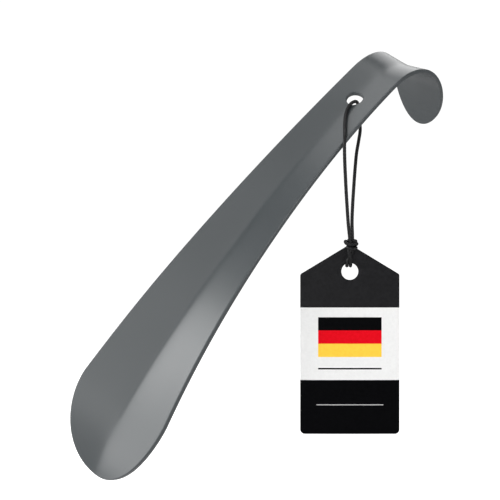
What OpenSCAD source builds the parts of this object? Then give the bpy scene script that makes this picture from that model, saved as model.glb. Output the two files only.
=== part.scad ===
// Shoehorn of bent steel sheet with a hanging hook, and a card tag hung from it on a cord loop.
// Millimetres, +Z up. The origin is the centre of the hook's bend, where a round rail's axis lies.
// The horn is shaped upright (x across, y towards its back, z up the handle) and then leaned.

/* [Sheet] */
// Thickness of the steel sheet
sheet_t = 2.4; // [1.5:0.1:2.4]
// Length from the tip to the hook's bend, measured along the sheet
blade_len = 248.8; // [200:0.1:320]
// Width of the handle at the hook's bend
handle_w = 27; // [22:0.5:27]
// Width that the blade's flare reaches for at the tip, before the tip is rounded
flare_w = 65.6; // [50:0.1:80]
// How late the flare opens towards the tip: 1 is a straight taper
flare_power = 1.93; // [1:0.01:3]
// Length over which the tip is rounded
tip_round = 41.6; // [25:0.1:60]
// How softly the rounding starts from the blade's sides: 2 is an ellipse
tip_power = 1.61; // [1.3:0.01:2.4]
// How sharply the rounding ends at the tip: 0.5 is an ellipse, more is sharper
tip_taper = 0.57; // [0.45:0.01:0.8]

/* [Lengthwise bends] */
// Radius of the long bow of the blade and handle
bow_r = 491.5; // [400:0.5:900]
// Radius of the tighter curl at the tip
curl_r = 112; // [80:1:200]
// Length of the curl at the tip
curl_len = 40.5; // [20:0.5:60]
// Outer radius of the hook's bend
bend_r = 38.5; // [30:0.5:45]
// Angle that the hook's bend turns through, in degrees
bend_angle = 79; // [60:1:90]
// Outer radius of the hook's lip
lip_r = 88; // [60:1:120]
// Angle that the lip turns through, in degrees
lip_angle = 21.5; // [10:0.5:30]
// Width of the lip
lip_w = 34; // [26:1:40]
// Length over which the end of the lip is rounded
lip_round = 36; // [25:1:42]

/* [Crease] */
// Slope of each side of the V at the tip, in degrees
fold_tip = 12; // [5:0.1:20]
// Slope of each side of the V in the middle of the blade, in degrees
fold_mid = 17.1; // [5:0.1:22]
// Slope of each side of the V at the handle, in degrees
fold_grip = 11.9; // [11.7:0.1:12.1]
// Radius that softens the crease
crease_r = 2.5; // [2:0.1:4]

/* [Hanging hole] */
// Diameter of the hanging hole
hole_d = 8.6; // [8.6:0.1:10]
// Distance from the hook's bend down to the hole's centre, along the sheet
hole_drop = 16.8; // [14:0.1:24]

/* [Tag] */
// Width of the card
tag_w = 50; // [40:1:54]
// Height of the card from its shoulders to its foot
tag_body_h = 80.5; // [60:0.5:100]
// Height of the pointed top above the shoulders
tag_point_h = 15.1; // [14:0.1:16]
// Thickness of the card
tag_t = 0.6; // [0.4:0.1:0.8]
// Diameter of the tag's hole
tag_hole_d = 8.5; // [8:0.1:9]
// Radius of the card's lower corners
tag_corner_r = 2.3; // [1:0.1:4]

/* [Cord] */
// Diameter of the cord
cord_d = 1.7; // [1.4:0.1:1.8]
// Width of the knot
knot_w = 5.6; // [5:0.1:5.8]
// Height of the knot
knot_h = 6; // [5:0.1:6.4]

/* [Hidden] */
$fn = 48;

degrees = 180 / PI;
bend_len = bend_r * bend_angle / degrees;
lip_len = lip_r * lip_angle / degrees;
sheet_len = blade_len + bend_len + lip_len;
bow_end = (blade_len - curl_len) / bow_r * degrees;
// Width left at the two rounded ends, so that each closes on a short straight edge
end_gap = 0.02;

// Turns about x, y and z that lean the horn, in degrees
lean = [-42.5, 25.6, -33.7];

// Sheet: direction from the sheet to the centre of its bend, for a turn in degrees (y, z)
function inward(turn) = [cos(turn), sin(turn)];

// Centres of the four arcs that the sheet follows (y, z). The hook's bend is about the origin.
bow_centre = (bow_r - bend_r) * inward(0);
curl_centre = bow_centre - (bow_r - curl_r) * inward(bow_end);
lip_centre = (lip_r - bend_r) * inward(-bend_angle);

// How far the sheet has turned, at a distance s from the tip
function turn_at(s) =
    s < curl_len ? bow_end + (curl_len - s) / curl_r * degrees :
    s < blade_len ? (blade_len - s) / bow_r * degrees :
    s < blade_len + bend_len ? -(s - blade_len) / bend_r * degrees :
    -bend_angle - (s - blade_len - bend_len) / lip_r * degrees;

// Middle of the sheet's front face at a distance s from the tip (y, z)
function spine(s) =
    s < curl_len ? curl_centre - curl_r * inward(turn_at(s)) :
    s < blade_len ? bow_centre - bow_r * inward(turn_at(s)) :
    s < blade_len + bend_len ? -bend_r * inward(turn_at(s)) :
    lip_centre - lip_r * inward(turn_at(s));

function clamp01(u) = min(max(u, 0), 1);
function ease(u) = clamp01(u) * clamp01(u) * (3 - 2 * clamp01(u));
function hook_part(s) = (s - blade_len) / (sheet_len - blade_len);

// Full width of the sheet, flared towards the tip and rounded at both ends
function side_to_side(s) = s < blade_len
    ? handle_w + (flare_w - handle_w) * pow(1 - s / blade_len, flare_power)
    : handle_w + (lip_w - handle_w) * ease(hook_part(s));
function tip_rounding(s) = pow(1 - pow(clamp01(1 - s / tip_round), tip_power), tip_taper);
function lip_rounding(s) = sqrt(1 - pow(clamp01(1 - (sheet_len - s) / lip_round), 2));
function width_at(s) = side_to_side(s) * tip_rounding(s) * lip_rounding(s);

// Slope of the V's sides, which fades out over the hook
function fold_at(s) =
    s < 0.4 * blade_len ? fold_tip + (fold_mid - fold_tip) * ease(s / (0.4 * blade_len)) :
    s < blade_len ? fold_mid + (fold_grip - fold_mid) * ease((s / blade_len - 0.4) / 0.6) :
    fold_grip * (1 - ease(hook_part(s)));

// Point of the sheet at x across and a depth behind the front face
function sheet_point(s, x, depth) = let (
        steep = tan(fold_at(s)),
        reach = norm([x, crease_r]),
        slope = steep * x / reach,
        slant = norm([1, slope]),
        lift = steep * (reach - crease_r) - depth / slant,
        at = spine(s) - lift * inward(turn_at(s)))
    [x + depth * slope / slant, at[0], at[1]];

// Stations along the sheet: close together at the rounded ends, wider along the handle
tip_steps = 12;
blade_steps = 18;
hook_steps = 12;
lip_steps = 9;
lip_start = sheet_len - lip_round;
stations = concat(
    [for (i = [0 : tip_steps - 1]) max(end_gap, tip_round * pow(i / tip_steps, 2))],
    [for (i = [0 : blade_steps - 1]) tip_round + (blade_len - tip_round) * i / blade_steps],
    [for (i = [0 : hook_steps - 1]) blade_len + (lip_start - blade_len) * i / hook_steps],
    [for (i = [0 : lip_steps])
        min(sheet_len - end_gap, sheet_len - lip_round * pow(1 - i / lip_steps, 2))]);
// Places across the sheet, as parts of its half width, closer together at the crease
across = [-1, -0.7, -0.4, -0.2, -0.08, 0, 0.08, 0.2, 0.4, 0.7, 1];

function reversed(list) = [for (i = [len(list) - 1 : -1 : 0]) list[i]];
function sheet_ring(s) = concat(
    [for (a = across) sheet_point(s, a * width_at(s) / 2, 0)],
    [for (a = reversed(across)) sheet_point(s, a * width_at(s) / 2, sheet_t)]);

// Solid through a list of closed rings that all have the same even number of points.
// Each end is closed by strips that run between facing points of the ring.
module skin(rings) {
    n = len(rings[0]);
    last = (len(rings) - 1) * n;
    start_cap = [for (j = [0 : n / 2 - 2]) [j, j + 1, n - 2 - j, n - 1 - j]];
    end_cap = [for (face = start_cap) [for (p = reversed(face)) last + p]];
    sides = [for (i = [0 : len(rings) - 2], j = [0 : n - 1], half = [0, 1])
        let (a = i * n + j, b = i * n + (j + 1) % n)
        half == 0 ? [a, b + n, b] : [a, a + n, b + n]];
    polyhedron(points = [for (ring = rings, p = ring) p],
        faces = concat(start_cap, sides, end_cap), convexity = 6);
}

module lean_horn() {
    rotate(lean) children();
}

// Where the hanging hole is along the sheet, and its centre on the front face (y, z)
hole_s = blade_len - hole_drop;
hole_at = spine(hole_s);

module hanging_hole() {
    translate([0, hole_at[0], hole_at[1]])
        rotate([90 + turn_at(hole_s), 0, 0])
            cylinder(h = 6 * sheet_t, d = hole_d, center = true);
}

// Steel sheet: blade, handle and hook in one piece
module shoehorn() {
    color("#6a7074")
        lean_horn()
            difference() {
                skin([for (s = stations) sheet_ring(s)]);
                hanging_hole();
            }
}

// The hole's centre after the lean. The cord, its knot and the tag are placed from it.
function turn_x(p, a) = [p[0], p[1] * cos(a) - p[2] * sin(a), p[1] * sin(a) + p[2] * cos(a)];
function turn_y(p, a) = [p[0] * cos(a) + p[2] * sin(a), p[1], p[2] * cos(a) - p[0] * sin(a)];
function turn_z(p, a) = [p[0] * cos(a) - p[1] * sin(a), p[0] * sin(a) + p[1] * cos(a), p[2]];
hang_at = turn_z(turn_y(turn_x([0, hole_at[0], hole_at[1]], lean[0]), lean[1]), lean[2]);

module from_hole() {
    translate(hang_at) children();
}

// Middle of the tag's hole in the card's mid-plane, and the knot's middle, from the hanging hole
tag_hole = [-3.5, -9.9, -88.5];
tag_hole_drop = 13.7;
knot_mid = [-3.1, -13.7, -75.3];

// Cord routes, from the hanging hole. The two strands hang from the ends of the neck.
front_perch = [-7.1, -19.6, -25.1];
back_perch = [2.1, 2.3, -6.7];
neck_route = [[-7.1, -19.7, -24.5], [-6.9, -18.8, -22], [-6.5, -14.5, -17.6], [-6, -10.4, -13],
              [-5.1, -6.6, -8.5], [-3.7, -4.3, -4.9], [-1.7, -2.9, -2.5], [0.1, -2, -1.7],
              [1.3, -0.5, -2.1], [1.8, 1.1, -3.5], [2.1, 2.2, -6.1]];
front_route = [front_perch, [-7.1, -19.8, -29.1], [-6.9, -19.3, -35.1], [-6.5, -18.5, -42.1],
               [-6, -17.6, -50.1], [-5.4, -16.6, -58.1], [-4.8, -15.5, -65.1], [-4, -14.5, -71.9]];
back_route = [back_perch, [2.7, 2.3, -11.1], [3, 1.6, -15.6], [2.1, 0, -21.1],
              [0.7, -2.3, -28.1], [-0.4, -5, -37.1], [-1.3, -7.6, -46.1], [-2.1, -10, -55.1],
              [-2.6, -11.9, -63.6], [-2.5, -13.1, -71.9]];
loop_left = [[-4.2, -13.5, -77.5], [-4.8, -13.5, -80.7], [-4.8, -12.9, -83.3], [-4.6, -11.5, -85.1],
             [-4.4, -9.9, -85.7], [-4.3, -8.3, -85.1], [-4.2, -7, -83.3], [-4.1, -6.7, -80.1],
             [-4.1, -6.7, -76.7], [-4.1, -7.5, -73.9], [-4.1, -9.5, -72.7],
             [-3.9, -12.3, -73.7]];
loop_right = [for (p = loop_left) p + [1.8, 0, 0]];

// Tube of round cord along a route
function unit(v) = v / norm(v);
function heading(route, i) =
    unit(route[min(i + 1, len(route) - 1)] - route[max(i - 1, 0)]);
function square_to(v, h) = unit(v - (v * h) * h);
function first_side(h) = square_to(abs(h[0]) < 0.8 ? [1, 0, 0] : [0, 1, 0], h);
function side_at(route, i) = i == 0
    ? first_side(heading(route, 0))
    : square_to(side_at(route, i - 1), heading(route, i));
function cord_ring(route, i, r) = let (h = heading(route, i), s = side_at(route, i), t = cross(h, s))
    [for (k = [0 : cord_sides - 1])
        route[i] + r * (cos(k * 360 / cord_sides) * s + sin(k * 360 / cord_sides) * t)];
cord_sides = 8;
module cord(route) {
    skin([for (i = [0 : len(route) - 1]) cord_ring(route, i, cord_d / 2)]);
}

// Cord from the horn's edge, up its face and through the hanging hole
module cord_neck() {
    color("#141414") from_hole() cord(neck_route);
}

module cord_front_strand() {
    color("#141414") from_hole() cord(front_route);
}

module cord_back_strand() {
    color("#141414") from_hole() cord(back_route);
}

module cord_knot() {
    color("#141414")
        from_hole()
            translate(knot_mid)
                rotate_extrude()
                    intersection() {
                        scale([knot_w / knot_h, 1]) circle(d = knot_h);
                        translate([0, -knot_h / 2]) square([knot_w, knot_h]);
                    }
}

// Pair of cords side by side, from the knot down through the tag's hole and up behind the card
module tag_loop() {
    color("#141414")
        from_hole() {
            cord(loop_left);
            cord(loop_right);
        }
}

// Card with a pointed top and a round hole
module tag_outline() {
    half = tag_w / 2;
    foot = -tag_point_h - tag_body_h;
    corner = [half - tag_corner_r, foot + tag_corner_r];
    right = concat([[half, -tag_point_h]],
        [for (a = [0 : 15 : 90]) corner + tag_corner_r * [cos(a), -sin(a)]]);
    left = [for (p = reversed(right)) [-p[0], p[1]]];
    polygon(concat([[0, 0]], right, left));
}

module hang_tag() {
    color("#1c1c20")
        from_hole()
            translate(tag_hole + [0, tag_t / 2, tag_hole_drop])
                rotate([90, 0, 0])
                    linear_extrude(tag_t)
                        difference() {
                            tag_outline();
                            translate([0, -tag_hole_drop]) circle(d = tag_hole_d);
                        }
}

shoehorn();
cord_neck();
cord_front_strand();
cord_back_strand();
cord_knot();
tag_loop();
hang_tag();
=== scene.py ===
"""Shoehorn of bent steel sheet, with a card tag on a knotted cord. Metres, in the CAD frame."""
import math

import bmesh
import bpy
import numpy as np
from mathutils import Matrix, Vector
from mathutils.geometry import delaunay_2d_cdt


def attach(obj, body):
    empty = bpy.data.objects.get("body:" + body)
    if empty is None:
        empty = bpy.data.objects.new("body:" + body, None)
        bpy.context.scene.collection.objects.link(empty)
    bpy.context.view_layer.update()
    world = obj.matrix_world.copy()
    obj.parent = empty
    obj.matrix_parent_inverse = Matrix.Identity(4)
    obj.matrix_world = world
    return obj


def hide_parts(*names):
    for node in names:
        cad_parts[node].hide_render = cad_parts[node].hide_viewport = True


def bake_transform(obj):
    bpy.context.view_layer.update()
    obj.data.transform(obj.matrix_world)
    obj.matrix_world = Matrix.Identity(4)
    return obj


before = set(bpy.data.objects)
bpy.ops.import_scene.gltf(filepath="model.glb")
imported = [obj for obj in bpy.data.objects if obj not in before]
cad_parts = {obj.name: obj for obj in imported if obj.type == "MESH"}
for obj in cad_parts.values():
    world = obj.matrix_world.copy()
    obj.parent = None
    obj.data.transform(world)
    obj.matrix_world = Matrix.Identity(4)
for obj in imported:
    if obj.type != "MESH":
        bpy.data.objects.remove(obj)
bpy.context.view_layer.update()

MM = 0.001

# Camera, in millimetres
CAMERA_AT = (-70.9, -549.9, -65.6)
CAMERA_LENS, SENSOR_W = 72, 36

# Sheet: the CAD's dimensions, in millimetres and degrees
SHEET_T = 2.4
BLADE_LEN, HANDLE_W, FLARE_W, FLARE_POWER = 248.8, 27.0, 65.6, 1.93
TIP_ROUND, TIP_POWER, TIP_TAPER = 41.6, 1.61, 0.57
BOW_R, CURL_R, CURL_LEN = 491.5, 112.0, 40.5
BEND_R, BEND_ANGLE, LIP_R, LIP_ANGLE = 38.5, 79.0, 88.0, 21.5
LIP_W, LIP_ROUND = 34.0, 36.0
FOLD_TIP, FOLD_MID, FOLD_GRIP, CREASE_R = 12.0, 17.1, 11.9, 2.5
HOLE_D, HOLE_DROP = 8.6, 16.8
LEAN = (-42.5, 25.6, -33.7)
# Where the V's sides have their middle slope, as a part of the blade's length
FOLD_MID_AT = 0.4
# Rounding of the cut edge and of the hole's rims, which only this model has
EDGE_R = 0.5
HOLE_EDGE_R = 0.4

# Tag and cord, in millimetres
TAG_W, TAG_BODY_H, TAG_POINT_H, TAG_T = 50.0, 80.5, 15.1, 0.6
TAG_HOLE_D, TAG_CORNER_R, TAG_HOLE_DROP = 8.5, 2.3, 13.7
CORD_D = 1.7

BEND_LEN = BEND_R * math.radians(BEND_ANGLE)
LIP_LEN = LIP_R * math.radians(LIP_ANGLE)
SHEET_LEN = BLADE_LEN + BEND_LEN + LIP_LEN
BOW_END = (BLADE_LEN - CURL_LEN) / BOW_R
HOLE_S = BLADE_LEN - HOLE_DROP


# --- Camera -----------------------------------------------------------------------------------

def make_camera():
    data = bpy.data.cameras.new("camera")
    data.sensor_width = SENSOR_W
    data.lens = CAMERA_LENS
    data.clip_start, data.clip_end = 0.01, 50
    cam = bpy.data.objects.new("camera", data)
    cam.location = Vector(CAMERA_AT) * MM
    cam.rotation_euler = (math.radians(90), 0, 0)
    bpy.context.scene.collection.objects.link(cam)
    bpy.context.scene.camera = cam


make_camera()


# --- Shape of the sheet -----------------------------------------------------------------------

def inward(turn):
    """Direction (y, z) from the front face towards its centre of curvature, at a turn in radians."""
    return np.stack([np.cos(turn), np.sin(turn)], -1)


BOW_CENTRE = (BOW_R - BEND_R) * inward(0.0)
CURL_CENTRE = BOW_CENTRE - (BOW_R - CURL_R) * inward(BOW_END)
LIP_CENTRE = (LIP_R - BEND_R) * inward(-math.radians(BEND_ANGLE))


def turn_at(s):
    """Turn of the sheet at a distance s from the tip, in radians. It is 0 where the hook's bend starts."""
    past = s - BLADE_LEN
    return np.select(
        [s < CURL_LEN, past < 0, past < BEND_LEN],
        [BOW_END + (CURL_LEN - s) / CURL_R, -past / BOW_R, -past / BEND_R],
        -math.radians(BEND_ANGLE) - (past - BEND_LEN) / LIP_R)


def spine(s):
    """Middle of the front face at a distance s from the tip (y, z)."""
    past = (s - BLADE_LEN)[..., None]
    arm = inward(turn_at(s))
    return np.select(
        [s[..., None] < CURL_LEN, past < 0, past < BEND_LEN],
        [CURL_CENTRE - CURL_R * arm, BOW_CENTRE - BOW_R * arm, -BEND_R * arm],
        LIP_CENTRE - LIP_R * arm)


def ease(u):
    """Soft step from 0 to 1."""
    u = np.clip(u, 0, 1)
    return u * u * (3 - 2 * u)


def hook_part(s):
    """How far along the hook a place is: 0 where its bend starts, 1 at the end of the lip."""
    return (s - BLADE_LEN) / (SHEET_LEN - BLADE_LEN)


def half_width(s):
    """Half of the sheet's width, with the rounded tip and lip."""
    blade = HANDLE_W + (FLARE_W - HANDLE_W) * np.clip(1 - s / BLADE_LEN, 0, 1) ** FLARE_POWER
    hook = HANDLE_W + (LIP_W - HANDLE_W) * ease(hook_part(s))
    tip = np.clip(1 - np.clip(1 - s / TIP_ROUND, 0, 1) ** TIP_POWER, 0, 1) ** TIP_TAPER
    lip = np.sqrt(np.clip(1 - np.clip(1 - (SHEET_LEN - s) / LIP_ROUND, 0, 1) ** 2, 0, 1))
    return np.where(s < BLADE_LEN, blade, hook) * tip * lip / 2


def fold_at(s):
    """Tangent of the slope of the V's sides."""
    middle = FOLD_MID_AT * BLADE_LEN
    low = FOLD_TIP + (FOLD_MID - FOLD_TIP) * ease(s / middle)
    high = FOLD_MID + (FOLD_GRIP - FOLD_MID) * ease((s - middle) / (BLADE_LEN - middle))
    hook = FOLD_GRIP * (1 - ease(hook_part(s)))
    return np.tan(np.radians(np.select([s < middle, s < BLADE_LEN], [low, high], hook)))


def lean_matrix():
    x, y, z = (math.radians(a) for a in LEAN)
    turns = Matrix.Rotation(z, 3, "Z") @ Matrix.Rotation(y, 3, "Y") @ Matrix.Rotation(x, 3, "X")
    return np.array(turns)


LEANED = lean_matrix()


def sheet_points(s, x, depth):
    """Points in the CAD frame, in metres, at s along, x across and a depth behind the front face."""
    s, x, depth = np.broadcast_arrays(*(np.asarray(v, float) for v in (s, x, depth)))
    steep = fold_at(s)
    reach = np.hypot(x, CREASE_R)
    slope = steep * x / reach
    slant = np.hypot(1, slope)
    lift = steep * (reach - CREASE_R) - depth / slant
    at = spine(s) - lift[..., None] * inward(turn_at(s))
    upright = np.stack([x + depth * slope / slant, at[..., 0], at[..., 1]], -1)
    return upright @ LEANED.T * MM


def flat_x(s, x, depth):
    """Where to measure across so that the point at that depth ends up at x, as in a drilled hole."""
    steep, across = fold_at(s), x
    for _ in range(6):
        slope = steep * across / np.hypot(across, CREASE_R)
        across = x - depth * slope / np.hypot(1, slope)
    return across


HANG_AT = sheet_points(HOLE_S, 0, 0)


def from_hole(points):
    """Points given in millimetres from the hanging hole's centre, in the CAD frame."""
    return np.asarray(points, float) * MM + HANG_AT


# --- Mesh helpers -----------------------------------------------------------------------------

def mesh_object(name, verts, faces, turn_out=True):
    """Smooth-shaded object. With turn_out its faces are turned to point outwards."""
    data = bpy.data.meshes.new(name)
    data.from_pydata([tuple(v) for v in verts], [], [tuple(f) for f in faces])
    obj = bpy.data.objects.new(name, data)
    bpy.context.scene.collection.objects.link(obj)
    if turn_out:
        bm = bmesh.new()
        bm.from_mesh(data)
        bmesh.ops.recalc_face_normals(bm, faces=bm.faces)
        bm.to_mesh(data)
        bm.free()
    data.polygons.foreach_set("use_smooth", [True] * len(data.polygons))
    return obj


def smooth_path(points, step):
    """Evenly spaced points on a centripetal Catmull-Rom curve, with their distances along it."""
    p = np.asarray(points, float)
    p = np.vstack([2 * p[0] - p[1], p, 2 * p[-1] - p[-2]])
    knots = np.concatenate([[0], np.cumsum(np.linalg.norm(np.diff(p, axis=0), axis=1) ** 0.5)])
    out = []
    for i in range(1, len(p) - 2):
        t0, t1, t2, t3 = knots[i - 1:i + 3]
        t = np.linspace(t1, t2, 40, endpoint=False)[:, None]
        a1 = (t1 - t) / (t1 - t0) * p[i - 1] + (t - t0) / (t1 - t0) * p[i]
        a2 = (t2 - t) / (t2 - t1) * p[i] + (t - t1) / (t2 - t1) * p[i + 1]
        a3 = (t3 - t) / (t3 - t2) * p[i + 1] + (t - t2) / (t3 - t2) * p[i + 2]
        b1 = (t2 - t) / (t2 - t0) * a1 + (t - t0) / (t2 - t0) * a2
        b2 = (t3 - t) / (t3 - t1) * a2 + (t - t1) / (t3 - t1) * a3
        out.append((t2 - t) / (t2 - t1) * b1 + (t - t1) / (t2 - t1) * b2)
    out = np.vstack(out + [p[-2:-1]])
    run = np.concatenate([[0], np.cumsum(np.linalg.norm(np.diff(out, axis=0), axis=1))])
    at = np.linspace(0, run[-1], max(8, int(round(run[-1] / step))) + 1)
    return np.stack([np.interp(at, run, out[:, k]) for k in range(3)], 1), at


def side_vectors(path):
    """Two directions square to the path at each point, carried along without twist."""
    along = np.gradient(path, axis=0)
    along /= np.linalg.norm(along, axis=1)[:, None]
    first = np.cross(along[0], (0, 1, 0) if abs(along[0][1]) < 0.8 else (1, 0, 0))
    sides = [first / np.linalg.norm(first)]
    for h in along[1:]:
        side = sides[-1] - (sides[-1] @ h) * h
        sides.append(side / np.linalg.norm(side))
    sides = np.array(sides)
    return sides, np.cross(along, sides)


# Braid: wavelength of its relief along the cord in millimetres, with ridges half of that apart,
# ridges round the cord each way, height of the relief as a part of the cord's radius, and the
# level of the wave that lies at that radius
BRAID_WAVE, BRAID_RIDGES, BRAID_RELIEF, BRAID_LEVEL = 3.4, 6, 0.16, 0.8
# The cord's mesh: points round it, and the distance between its rings in millimetres
CORD_SIDES, CORD_STEP = 30, 0.18


def braid(angle, run, radius):
    """Radius of a round braided cord: ridges that wind both ways, with soft grooves between them."""
    turn = 2 * math.pi * run / (BRAID_WAVE * MM)
    one = np.abs(np.cos(BRAID_RIDGES / 2 * angle + turn))
    other = np.abs(np.cos(BRAID_RIDGES / 2 * angle - turn))
    return radius * (1 + BRAID_RELIEF * (np.maximum(one, other) - BRAID_LEVEL))


def cord_mesh(name, points):
    """Braided cord along the points, with rounded ends. Returns the object and its centreline."""
    radius = CORD_D / 2 * MM
    path, run = smooth_path(points, CORD_STEP * MM)
    one, two = side_vectors(path)
    angle = np.linspace(0, 2 * math.pi, CORD_SIDES, endpoint=False)
    from_end = np.minimum(run, run[-1] - run) / radius
    rounded_end = np.sqrt(np.clip(1 - np.clip(1 - from_end, 0, 1) ** 2, 0.02, 1))[:, None]
    r = braid(angle[None, :], run[:, None], radius) * rounded_end
    rings = path[:, None] + r[..., None] * (
        np.cos(angle)[None, :, None] * one[:, None] + np.sin(angle)[None, :, None] * two[:, None])
    n, m = len(path), CORD_SIDES
    faces = [(i * m + k, i * m + (k + 1) % m, (i + 1) * m + (k + 1) % m, (i + 1) * m + k)
             for i in range(n - 1) for k in range(m)]
    faces += [tuple(range(m)), tuple((n - 1) * m + k for k in range(m))]
    return mesh_object(name, rings.reshape(-1, 3), faces), path


def path_length(path):
    return float(np.linalg.norm(np.diff(path, axis=0), axis=1).sum())


# --- Material helpers -------------------------------------------------------------------------

class Nodes:
    """A node material with the object's own coordinates, in metres."""

    def __init__(self, name, color, roughness, **sockets):
        self.material = bpy.data.materials.new(name)
        self.material.use_nodes = True
        self.tree = self.material.node_tree
        self.shader = self.tree.nodes["Principled BSDF"]
        self.shader.inputs["Base Color"].default_value = (*color, 1)
        self.shader.inputs["Roughness"].default_value = roughness
        for key, value in sockets.items():
            self.shader.inputs[key.replace("_", " ")].default_value = value
        self.place = self.tree.nodes.new("ShaderNodeTexCoord").outputs["Object"]
        self.normal = None

    def link(self, a, b):
        self.tree.links.new(a, b)

    def noise(self, size_mm, detail=2.0, rough=0.5):
        node = self.tree.nodes.new("ShaderNodeTexNoise")
        node.inputs["Scale"].default_value = 1 / (size_mm * MM)
        node.inputs["Detail"].default_value = detail
        node.inputs["Roughness"].default_value = rough
        self.link(self.place, node.inputs["Vector"])
        return node.outputs["Fac"]

    def remap(self, value, low, high, to_low=0.0, to_high=1.0):
        node = self.tree.nodes.new("ShaderNodeMapRange")
        for key, number in (("From Min", low), ("From Max", high), ("To Min", to_low), ("To Max", to_high)):
            node.inputs[key].default_value = number
        self.link(value, node.inputs["Value"])
        return node.outputs["Result"]

    def mix(self, factor, a, b):
        """Blend of two colours, each given as a tuple or as another node's output."""
        node = self.tree.nodes.new("ShaderNodeMix")
        node.data_type = "RGBA"
        inputs = [i for i in node.inputs if i.type == "RGBA"]
        self.link(factor, node.inputs["Factor"])
        for socket, value in zip(inputs, (a, b)):
            if isinstance(value, tuple):
                socket.default_value = (*value, 1)
            else:
                self.link(value, socket)
        return [o for o in node.outputs if o.type == "RGBA"][0]

    def bump(self, height, depth_mm, strength):
        """Relief on top of any that was added before."""
        node = self.tree.nodes.new("ShaderNodeBump")
        node.inputs["Distance"].default_value = depth_mm * MM
        node.inputs["Strength"].default_value = strength
        self.link(height, node.inputs["Height"])
        if self.normal is not None:
            self.link(self.normal, node.inputs["Normal"])
        self.normal = node.outputs["Normal"]
        self.link(self.normal, self.shader.inputs["Normal"])

    def color(self, value):
        self.link(value, self.shader.inputs["Base Color"])

    def roughness(self, value):
        self.link(value, self.shader.inputs["Roughness"])


def coat_material():
    """Satin powder coat: soft orange peel, a fine grain and faint tone changes."""
    n = Nodes("coat", (0.05, 0.056, 0.059), 0.3, Specular_IOR_Level=0.5)
    tone = n.remap(n.noise(30, 1), 0.1, 0.9)
    n.color(n.mix(tone, (0.049, 0.056, 0.0595), (0.054, 0.061, 0.065)))
    n.roughness(n.remap(n.noise(9, 1), 0.1, 0.9, 0.28, 0.32))
    n.bump(n.noise(1.5, 1), 0.005, 0.4)
    n.bump(n.noise(0.5, 1), 0.002, 0.2)
    return n.material


def cord_material():
    """Waxed black yarn: fine fibres with a dull shine."""
    n = Nodes("waxed_yarn", (0.01, 0.01, 0.0105), 0.45, Specular_IOR_Level=0.22)
    fibre = n.noise(0.16, 3)
    n.color(n.mix(n.remap(fibre, 0.4, 0.7), (0.004, 0.004, 0.0045), (0.016, 0.016, 0.017)))
    n.roughness(n.remap(n.noise(1.1, 2), 0.3, 0.7, 0.36, 0.55))
    n.bump(fibre, 0.05, 0.6)
    return n.material


def card_material(name, low, high, roughness, gloss, grain):
    """Printed card: fine grain, faint mottling and soft roughness changes."""
    n = Nodes(name, low, roughness, Specular_IOR_Level=gloss)
    n.color(n.mix(n.remap(n.noise(1.3, 4, 0.65), 0.35, 0.65), low, high))
    n.roughness(n.remap(n.noise(3.5, 3), 0.3, 0.7, roughness - 0.06, roughness + 0.06))
    n.bump(n.noise(0.3, 3, 0.6), 0.02, grain)
    return n.material


# --- Cord and knot ----------------------------------------------------------------------------

FRONT_PERCH = (-7.1, -19.6, -25.1)
BACK_PERCH = (2.1, 2.3, -6.7)
KNOT_MID = (-3.1, -13.7, -75.3)
TAG_HOLE = (-3.5, -9.9, -88.5)

# From inside the knot up the front strand, over the handle's edge and up its face, through the
# hanging hole and down the back strand into the knot
CORD_ROUTE = [
    (-3.7, -14.2, -76), (-4, -14.5, -71.9), (-4.8, -15.5, -65.1), (-5.4, -16.6, -58.1), (-6, -17.6, -50.1),
    (-6.5, -18.5, -42.1), (-6.9, -19.3, -35.1), (-7.1, -19.8, -29.1), FRONT_PERCH, (-6.9, -18.8, -22),
    (-6.5, -14.5, -17.6), (-6, -10.4, -13), (-5.1, -6.6, -8.5), (-3.7, -4.3, -4.9), (-1.7, -2.9, -2.5),
    (0.1, -2, -1.7), (1.3, -0.5, -2.1), (1.8, 1.1, -3.5), BACK_PERCH, (2.7, 2.3, -11.1), (3, 1.6, -15.6),
    (2.1, 0, -21.1), (0.7, -2.3, -28.1), (-0.4, -5, -37.1), (-1.3, -7.6, -46.1), (-2.1, -10, -55.1),
    (-2.6, -11.9, -63.6), (-2.5, -13.1, -71.9), (-2.6, -13.3, -76)]

# Two turns of the same cord from the knot down through the tag's hole and up behind the card. Its
# two strands cross once in front, between the knot and the hole
TAG_ROUTE = [
    (-3.5, -13.6, -75), (-2.5, -12.9, -77.5), (-3.4, -12.2, -80.3), (-4.7, -12.1, -83.1),
    (-5.1, -11.3, -85.1), (-5, -9.9, -85.7), (-4.8, -8.3, -85.1), (-4.5, -7, -83.3), (-4.2, -6.7, -80.1),
    (-4.1, -6.7, -76.7), (-4, -7.5, -73.9), (-3.9, -9.5, -72.7), (-3.5, -12.3, -73.4), (-3.4, -14, -75.6),
    (-4.4, -14.6, -77.6), (-4.2, -14.4, -80.2), (-3.5, -13.3, -83), (-3.3, -11.6, -85.1),
    (-3.2, -9.9, -85.7), (-3, -8.3, -85.1), (-2.7, -7, -83.3), (-2.4, -6.7, -80.1), (-2.3, -6.7, -76.7),
    (-2.3, -7.5, -73.9), (-2.3, -9.5, -72.7), (-2.6, -12, -73.7)]

# The knot's wraps wind round an upright line that lies this far to the right of its middle
WRAPS_RIGHT = 0.2
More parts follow.
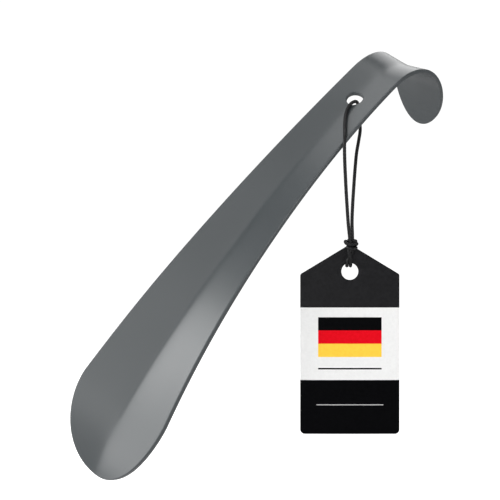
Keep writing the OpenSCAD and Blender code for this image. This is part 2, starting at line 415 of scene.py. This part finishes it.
# Degrees round that line from the front towards +X, distance from it, and height above the middle
KNOT_WRAPS = [
    (-20, 0.6, 2.4), (60, 1.9, 2.1), (120, 2.1, 1.8), (180, 2.1, 1.5), (240, 2.2, 1.6), (275, 3.2, 1.9),
    (298, 3.4, 1.0), (330, 2.5, 0.3), (360, 2.3, 0.3), (400, 2.4, 0.7), (440, 2.5, 0.7), (480, 2.2, 0.1),
    (540, 2.1, -0.5), (590, 2.1, -0.7), (640, 2.1, -1.0), (680, 2.0, -1.5), (720, 2.0, -1.9),
    (760, 2.1, -1.7), (800, 2.1, -1.3), (850, 1.9, -1.7), (900, 1.5, -2.1), (950, 0.7, -2.3)]


def knot_points():
    return [(KNOT_MID[0] + WRAPS_RIGHT + r * math.sin(math.radians(a)),
             KNOT_MID[1] - r * math.cos(math.radians(a)),
             KNOT_MID[2] + z) for a, r, z in KNOT_WRAPS]


def make_cords():
    yarn = cord_material()
    knot, _ = cord_mesh("knot", from_hole(knot_points()))
    strands, strands_path = cord_mesh("hanging_cord", from_hole(CORD_ROUTE))
    turns, turns_path = cord_mesh("tag_cord", from_hole(TAG_ROUTE))
    for obj in (knot, strands, turns):
        obj.data.materials.append(yarn)
    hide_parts("cord_knot")
    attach(knot, "knot")
    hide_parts("tag_loop")
    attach(turns, "knot")
    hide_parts("cord_neck", "cord_front_strand", "cord_back_strand")
    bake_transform(strands)
    print("cord lengths, mm:", *(round(path_length(path) / MM) for path in (strands_path, turns_path)))


make_cords()


# --- Horn -------------------------------------------------------------------------------------

def outline_half():
    """Right half of the sheet's outline, tip to lip: along, across, and the inward direction.

    It is sampled finely first, then thinned to points that lie closer towards both ends."""
    fine = 1500
    tip = TIP_ROUND * np.linspace(0, 1, fine) ** 3
    lip = SHEET_LEN - LIP_ROUND * np.linspace(1, 0, fine) ** 3
    s = np.concatenate([tip, np.linspace(TIP_ROUND, SHEET_LEN - LIP_ROUND, fine)[1:-1], lip])
    x = half_width(s)
    x[0] = x[-1] = 0
    run = np.concatenate([[0], np.cumsum(np.hypot(np.diff(s), np.diff(x)))])
    end = run[-1]
    spacing = np.interp(run, [0, 20, 60, end - 60, end - 20, end], [0.4, 0.7, 1.6, 1.6, 0.7, 0.4])
    count = np.concatenate([[0], np.cumsum(np.diff(run) / spacing[1:])])
    at = np.interp(np.linspace(0, count[-1], int(count[-1]) + 1), count, run)
    s, x = np.interp(at, run, s), np.interp(at, run, x)
    ds, dx = np.gradient(s), np.gradient(x)
    ds[0] = ds[-1] = 0
    length = np.hypot(ds, dx)
    return s, x, dx / length, -ds / length


def edge_profile(radius):
    """Inset and depth pairs round a sheet's cut edge, from the front face to the back face."""
    quarter = np.linspace(0, math.pi / 2, 5)
    front = [(radius * (1 - math.sin(t)), radius * (1 - math.cos(t))) for t in quarter]
    back = [(inset, SHEET_T - depth) for inset, depth in reversed(front)]
    return front + [(0, SHEET_T / 2)] + back


# How many parts each face is cut into from side to side
ACROSS = 36


def across_parts():
    """Places across the sheet from -1 to 1, closer at the crease and with one more near each edge."""
    even = np.linspace(-1, 1, ACROSS + 1)
    closer = np.sign(even) * np.abs(even) ** 1.5
    return np.concatenate([[-1, -0.985], closer[1:-1], [0.985, 1]])


class HornMesh:
    """The sheet's mesh, with each point as its place along, across and behind the front face."""

    def __init__(self):
        self.verts, self.faces = [], []

    def add(self, s, x, depth):
        self.verts.append((float(s), float(x), float(depth)))
        return len(self.verts) - 1

    def between(self, a, b, part, depth):
        """Point between two others, as a part of the way from a to b."""
        s, x = (self.verts[a][i] * (1 - part) + self.verts[b][i] * part for i in range(2))
        return self.add(s, x, depth)

    def strip(self, a, b, closed=False):
        """Faces between two rows of points."""
        pairs = range(len(a) if closed else len(a) - 1)
        self.faces += [(a[i], a[(i + 1) % len(a)], b[(i + 1) % len(b)], b[i]) for i in pairs]

    def object(self, name):
        s, x, depth = np.array(self.verts).T
        return mesh_object(name, sheet_points(s, x, depth), self.faces)


def square_loop(grid, rows, cols):
    """Indices round the border of a block of a grid, in order."""
    r0, r1, c0, c1 = rows[0], rows[1], cols[0], cols[1]
    return ([grid[r0][c] for c in range(c0, c1)] + [grid[r][c1] for r in range(r0, r1)]
            + [grid[r1][c] for c in range(c1, c0, -1)] + [grid[r][c0] for r in range(r1, r0, -1)])


def hole_ring(mesh, angles, radius, depth):
    """Round row of points about the hanging hole's axis."""
    ring = []
    for a in angles:
        s = HOLE_S + radius * math.sin(a)
        ring.append(mesh.add(s, flat_x(np.array(s), radius * math.cos(a), depth), depth))
    return ring


def cut_edge(mesh, outline):
    """Rounded cut edge, as rows from front to back. Each row is a right and a left side, tip to lip."""
    s, x, in_s, in_x = outline
    last = len(s) - 1
    rows = []
    for inset, depth in edge_profile(EDGE_R):
        along, across = s + inset * in_s, x + inset * in_x
        right = [mesh.add(along[k], across[k], depth) for k in range(last + 1)]
        left = [mesh.add(along[k], -across[k], depth) for k in range(1, last)]
        rows.append((right, [right[0], *left, right[-1]]))
    for (right_a, left_a), (right_b, left_b) in zip(rows, rows[1:]):
        mesh.strip(right_a, right_b)
        mesh.strip(left_b, left_a)
    return rows


# Half the size of the block that each face leaves open round the hanging hole
HOLE_BLOCK = 7.0
# Where the block's inner loops lie on the way from its border to the hole's rim
BLOCK_STEPS = (0.3, 0.6, 0.85)


def hole_block(s, parts):
    """First and last row and column of the block round the hanging hole."""
    rows = [k for k in range(len(s) - 1) if abs(s[k] - HOLE_S) < HOLE_BLOCK]
    cols = [j for j, part in enumerate(parts) if abs(part) * HANDLE_W / 2 < HOLE_BLOCK]
    return (rows[0], rows[-1]), (cols[0], cols[-1])


def face_grid(mesh, edge, depth, parts):
    """Points of one face, as rows that run from its left edge to its right edge."""
    right, left = edge
    last = len(right) - 1
    grid = {0: [right[0]] * len(parts), last: [right[last]] * len(parts)}
    for k in range(1, last):
        edge_s, edge_x, _ = mesh.verts[right[k]]
        inner = [mesh.add(edge_s, part * edge_x, depth) for part in parts[1:-1]]
        grid[k] = [left[k], *inner, right[k]]
    return grid


def fill_face(mesh, grid, rows, cols):
    """Faces between the grid's points, outside the open block."""
    for k in range(len(grid) - 1):
        for j in range(len(grid[0]) - 1):
            if rows[0] <= k < rows[1] and cols[0] <= j < cols[1]:
                continue
            quad = [grid[k][j], grid[k][j + 1], grid[k + 1][j + 1], grid[k + 1][j]]
            mesh.faces.append(tuple(dict.fromkeys(quad)))


def fill_block(mesh, grid, rows, cols, depth):
    """Faces from the open block's border to the hole's rim. Returns the rim and its angles."""
    border = square_loop(grid, rows, cols)
    angles = [math.atan2(mesh.verts[i][0] - HOLE_S, mesh.verts[i][1]) for i in border]
    rim = hole_ring(mesh, angles, HOLE_D / 2 + HOLE_EDGE_R, depth)
    previous = border
    for step in BLOCK_STEPS:
        middle = [mesh.between(a, b, step, depth) for a, b in zip(border, rim)]
        mesh.strip(previous, middle, closed=True)
        previous = middle
    mesh.strip(previous, rim, closed=True)
    return rim, angles


def hole_wall(mesh, front_rim, back_rim, angles):
    """Wall of the hanging hole, with rounded rims."""
    previous = front_rim
    for inset, depth in edge_profile(HOLE_EDGE_R)[1:-1]:
        ring = hole_ring(mesh, angles, HOLE_D / 2 + inset, depth)
        mesh.strip(previous, ring, closed=True)
        previous = ring
    mesh.strip(previous, back_rim, closed=True)


def make_horn():
    mesh = HornMesh()
    parts = across_parts()
    outline = outline_half()
    edge_rows = cut_edge(mesh, outline)
    rows, cols = hole_block(outline[0], parts)
    rims = []
    for edge, depth in ((edge_rows[0], 0.0), (edge_rows[-1], SHEET_T)):
        grid = face_grid(mesh, edge, depth, parts)
        fill_face(mesh, grid, rows, cols)
        rims.append(fill_block(mesh, grid, rows, cols, depth))
    (front_rim, angles), (back_rim, _) = rims
    hole_wall(mesh, front_rim, back_rim, angles)
    horn = mesh.object("horn")
    horn.data.materials.append(coat_material())
    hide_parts("shoehorn")
    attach(horn, "root")


make_horn()


# --- Tag --------------------------------------------------------------------------------------

# Print on the card's face, in millimetres from the hole's centre: the white band's foot and top, the
# panel's half width, each bar's foot and top, and each rule's left, right, foot and top
WHITE_BAND = (-54.7, -18.2)
PANEL_HALF_W = 16
PANEL_BARS = [("ink_black", -29.7, -23.1), ("ink_red", -36.4, -29.7), ("ink_gold", -43.1, -36.4)]
RULES = [("ink_black", -16, 16, -49.4, -48.6), ("ink_grey", -16.8, 16.8, -67.4, -67)]
# Each ink's two colours, roughness, gloss and strength of the grain
PRINT_LOOKS = {
    "card_black": ((0.004, 0.004, 0.005), (0.008, 0.008, 0.0095), 0.42, 0.17, 0.9),
    "card_core": ((0.30, 0.30, 0.30), (0.42, 0.42, 0.41), 0.8, 0.4, 0.35),
    "card_white": ((0.79, 0.79, 0.785), (0.83, 0.83, 0.825), 0.55, 0.1, 0.3),
    "ink_black": ((0.0008, 0.0009, 0.0013), (0.0016, 0.0017, 0.0023), 0.5, 0.03, 0.3),
    "ink_red": ((0.70, 0.002, 0.009), (0.76, 0.003, 0.013), 0.5, 0.04, 0.3),
    "ink_gold": ((0.93, 0.58, 0.055), (0.98, 0.63, 0.065), 0.5, 0.05, 0.3),
    "ink_grey": ((0.5, 0.5, 0.5), (0.56, 0.56, 0.56), 0.5, 0.1, 0.3)}
# Rounding of the card's cut edge, of its shoulders and of its point
TAG_EDGE_R = 0.12
SHOULDER_R = 1.5
POINT_R = 0.8
# How far apart the card is cut both ways, so that it can bow
BOW_STEP = 4
# The bow: how far back the card's sides lie, and how it curves up and down from its middle height
BOW_SIDES, BOW_UPRIGHT, BOW_MIDDLE = 0.25, 0.00002, -20


def rounded(corners):
    """Outline through the corners (x, z, radius), each rounded, counter-clockwise."""
    out = []
    for i, (x, z, r) in enumerate(corners):
        p = Vector((x, z))
        before = (Vector(corners[i - 1][:2]) - p).normalized()
        after = (Vector(corners[(i + 1) % len(corners)][:2]) - p).normalized()
        half = before.angle(after) / 2
        cut = r / math.tan(half)
        centre = p + (before + after).normalized() * (r / math.sin(half))
        a, b = p + before * cut - centre, p + after * cut - centre
        for t in np.linspace(0, 1, 9):
            out.append(centre + (a * (1 - t) + b * t).normalized() * r)
    return out


def tag_loops():
    """The card's outline and its hole, counter-clockwise, from the hole's centre."""
    half = TAG_W / 2
    shoulder = TAG_HOLE_DROP - TAG_POINT_H
    foot = shoulder - TAG_BODY_H
    outer = rounded([(0, TAG_HOLE_DROP, POINT_R), (-half, shoulder, SHOULDER_R), (-half, foot, TAG_CORNER_R),
                     (half, foot, TAG_CORNER_R), (half, shoulder, SHOULDER_R)])
    hole = [Vector((math.cos(a), math.sin(a))) * TAG_HOLE_D / 2
            for a in np.linspace(0, 2 * math.pi, 72, endpoint=False)]
    return outer, hole


def inset_loop(loop, distance):
    """The loop moved towards its left side, which is inside for a counter-clockwise outline."""
    out = []
    for i, p in enumerate(loop):
        along = (loop[(i + 1) % len(loop)] - loop[i - 1]).normalized()
        out.append(p + Vector((-along.y, along.x)) * distance)
    return out


def tag_bow(x, z):
    """How far the card's face curves towards the back, in millimetres."""
    return BOW_SIDES * (x / (TAG_W / 2)) ** 2 + BOW_UPRIGHT * (z - BOW_MIDDLE) ** 2


def card_edges(loops, verts, faces):
    """Adds the rounded cut edges of the outline and the hole. Returns each one's rings, front to back."""
    quarter = np.linspace(0, math.pi / 2, 4)
    profile = [(TAG_EDGE_R * (1 - math.sin(t)), TAG_EDGE_R * (1 - math.cos(t))) for t in quarter]
    profile += [(inset, TAG_T - depth) for inset, depth in reversed(profile)]
    edges = []
    for loop, sign in zip(loops, (1, -1)):
        n = len(loop)
        rings = []
        for inset, depth in profile:
            rings.append(range(len(verts), len(verts) + n))
            verts += [(p.x, depth, p.y) for p in inset_loop(loop, sign * inset)]
        for a, b in zip(rings, rings[1:]):
            faces += [(a[i], a[(i + 1) % n], b[(i + 1) % n], b[i]) for i in range(n)]
        edges.append(rings)
    return edges


def in_outline(p, loop):
    """Whether a point lies inside a closed loop."""
    inside = False
    for a, b in zip(loop, loop[1:] + loop[:1]):
        if (a.y > p.y) != (b.y > p.y) and p.x < a.x + (b.x - a.x) * (p.y - a.y) / (b.y - a.y):
            inside = not inside
    return inside


def card_face(outer, hole, verts):
    """Triangles of one face of the card, between its outline and its hole."""
    ids = [*outer, *hole]
    flat = [Vector((verts[i][0], verts[i][2])) for i in ids]
    n, m = len(outer), len(hole)
    edges = [(i, (i + 1) % n) for i in range(n)] + [(n + i, n + (i + 1) % m) for i in range(m)]
    _, _, triangles, originals, _, _ = delaunay_2d_cdt(flat, edges, [], 0, 1e-7)
    faces = []
    for triangle in triangles:
        keys = [originals[v][0] for v in triangle]
        middle = sum((flat[k] for k in keys), Vector((0, 0))) / 3
        spans_hole = all(k >= n for k in keys)
        if not spans_hole and in_outline(middle, flat[:n]):
            faces.append(tuple(ids[k] for k in keys))
    return faces


def cut_places():
    """Where the card's faces are cut across and up: at the print's borders and at each bow step."""
    across = {-PANEL_HALF_W, PANEL_HALF_W} | set(range(-24, 25, BOW_STEP))
    across |= {rule[i] for rule in RULES for i in (1, 2)}
    up = set(WHITE_BAND) | set(range(-80, 14, BOW_STEP))
    up |= {bar[i] for bar in PANEL_BARS for i in (1, 2)} | {rule[i] for rule in RULES for i in (3, 4)}
    return across, up


def print_at(face):
    """Name of the ink or card that a face of the tag shows."""
    p = face.calc_center_median()
    if abs(face.normal.y) < 0.5:
        return "card_core"
    if p.y > TAG_T / 2 or face.normal.y > 0:
        return "card_black"
    for name, low, high in PANEL_BARS:
        if abs(p.x) < PANEL_HALF_W and low < p.z < high:
            return name
    for name, left, right, low, high in RULES:
        if left < p.x < right and low < p.z < high:
            return name
    if p.z < WHITE_BAND[0]:
        return "ink_black"
    return "card_white" if p.z < WHITE_BAND[1] else "card_black"


def cut_and_paint(tag):
    """Cuts the card's faces along the print's borders, then gives each face its material."""
    names = list(PRINT_LOOKS)
    for name, look in PRINT_LOOKS.items():
        tag.data.materials.append(card_material(name, *look))
    bm = bmesh.new()
    bm.from_mesh(tag.data)
    across, up = cut_places()
    for values, axis in ((across, 0), (up, 2)):
        for value in sorted(values):
            point, normal = Vector((0, 0, 0)), Vector((0, 0, 0))
            point[axis], normal[axis] = value, 1
            bmesh.ops.bisect_plane(bm, geom=bm.verts[:] + bm.edges[:] + bm.faces[:], dist=1e-5,
                                   plane_co=point, plane_no=normal)
    bm.normal_update()
    for face in bm.faces:
        face.material_index = names.index(print_at(face))
        face.smooth = True
    bm.to_mesh(tag.data)
    bm.free()


def make_tag():
    verts, faces = [], []
    outline, hole = card_edges(tag_loops(), verts, faces)
    for side in (0, -1):
        faces += card_face(outline[side], hole[side], verts)
    tag = mesh_object("hang_tag", verts, faces)
    cut_and_paint(tag)
    co = np.array([v.co for v in tag.data.vertices])
    co[:, 1] += tag_bow(co[:, 0], co[:, 2]) - TAG_T / 2
    tag.data.vertices.foreach_set("co", from_hole(co + TAG_HOLE).astype(np.float32).ravel())
    tag.data.update()
    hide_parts("hang_tag")
    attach(tag, "tag")


make_tag()


# --- Floor and light --------------------------------------------------------------------------

FLOOR_Z = -0.26
# Strength of the floor's own glow: on the object, and as the floor is drawn
FLOOR_GLOW, FLOOR_WHITE = 0.15, 1.0
# Strength of the world on the object from the front and from the back, and as it is drawn
WORLD_FRONT, WORLD_BACK, WORLD_WHITE = 0.02, 0.4, 1.05
# The point that every soft box faces
LIT_MIDDLE = Vector((-0.06, -0.03, -0.06))
# Each soft box's name, azimuth, elevation, distance, width and height, and brightness
SOFT_BOXES = [
    ("left_low", -90, -1, 1.2, (0.95, 0.8), 3.8),
    ("left_high", -90, 27, 1.2, (0.95, 0.36), 6.6),
    ("front_low", -45, -6, 1.2, (1.0, 0.5), 2.7),
    ("front_middle", -32, 18, 1.2, (1.1, 0.5), 1.9),
    ("front_high", -20, 42, 1.2, (1.0, 0.5), 1.4),
    ("front_top", -8, 66, 1.2, (0.7, 0.5), 0.9),
    ("front_box", -8, -1, 1.2, (0.5, 0.5), 2.2),
    ("right_box", 52, 8, 1.2, (0.8, 0.7), 3.6),
    ("back_box", 165, 48, 1.2, (0.9, 0.8), 1.9),
    ("left_top", -118, 74, 1.2, (0.5, 0.45), 1.9),
    ("top_box", 60, 84, 1.2, (0.5, 0.5), 2.0)]


def make_floor():
    """Wide round floor, of rings that grow outwards."""
    n = 96
    radii = (0.0001, 0.5, 2, 8, 30)
    verts = [(r * math.cos(2 * math.pi * k / n), r * math.sin(2 * math.pi * k / n), FLOOR_Z)
             for r in radii for k in range(n)]
    faces = [(i * n + k, (i + 1) * n + k, (i + 1) * n + (k + 1) % n, i * n + (k + 1) % n)
             for i in range(len(radii) - 1) for k in range(n)]
    floor = mesh_object("floor", verts, faces, turn_out=False)
    paper = Nodes("floor_paper", (0.5, 0.5, 0.5), 0.9, Specular_IOR_Level=0.1)
    paper.color(paper.mix(paper.noise(300, 2), (0.48, 0.48, 0.48), (0.52, 0.52, 0.52)))
    paper.shader.inputs["Emission Color"].default_value = (1, 1, 1, 1)
    lift = paper.remap(paper.tree.nodes.new("ShaderNodeLightPath").outputs["Is Camera Ray"],
                       0, 1, FLOOR_GLOW, FLOOR_WHITE)
    paper.link(lift, paper.shader.inputs["Emission Strength"])
    floor.data.materials.append(paper.material)


def toward(azimuth, elevation):
    """Direction with azimuth 0 towards -Y and 90 towards +X, in degrees."""
    a, e = math.radians(azimuth), math.radians(elevation)
    return Vector((math.sin(a) * math.cos(e), -math.cos(a) * math.cos(e), math.sin(e)))


def soft_box(name, azimuth, elevation, distance, size, brightness):
    """Rectangular area light that faces the object. One of brightness 1 would be drawn just white."""
    data = bpy.data.lights.new(name, "AREA")
    data.shape = "RECTANGLE"
    data.size, data.size_y = size
    data.energy = brightness * math.pi * size[0] * size[1]
    lamp = bpy.data.objects.new(name, data)
    way = toward(azimuth, elevation)
    lamp.location = LIT_MIDDLE + distance * way
    lamp.rotation_euler = (-way).to_track_quat("-Z", "Y").to_euler()
    lamp.visible_camera = False
    bpy.context.scene.collection.objects.link(lamp)


def make_world():
    """Dim world that is brighter at the back, and is drawn white."""
    world = bpy.data.worlds.new("studio")
    world.use_nodes = True
    tree = world.node_tree
    light = tree.nodes["Background"]
    light.inputs["Color"].default_value = (1, 1, 1, 1)
    place = tree.nodes.new("ShaderNodeTexCoord")
    split = tree.nodes.new("ShaderNodeSeparateXYZ")
    tree.links.new(place.outputs["Generated"], split.inputs["Vector"])
    ramp = tree.nodes.new("ShaderNodeMapRange")
    for key, number in (("From Min", -1), ("From Max", 1), ("To Min", WORLD_FRONT), ("To Max", WORLD_BACK)):
        ramp.inputs[key].default_value = number
    tree.links.new(split.outputs["Y"], ramp.inputs["Value"])
    tree.links.new(ramp.outputs["Result"], light.inputs["Strength"])
    white = tree.nodes.new("ShaderNodeBackground")
    white.inputs["Color"].default_value = (1, 1, 1, 1)
    white.inputs["Strength"].default_value = WORLD_WHITE
    seen = tree.nodes.new("ShaderNodeLightPath")
    mix = tree.nodes.new("ShaderNodeMixShader")
    tree.links.new(seen.outputs["Is Camera Ray"], mix.inputs["Fac"])
    tree.links.new(light.outputs["Background"], mix.inputs[1])
    tree.links.new(white.outputs["Background"], mix.inputs[2])
    tree.links.new(mix.outputs["Shader"], tree.nodes["World Output"].inputs["Surface"])
    bpy.context.scene.world = world


make_floor()
make_world()
bpy.context.scene.view_settings.view_transform = "Standard"
for box in SOFT_BOXES:
    soft_box(*box)
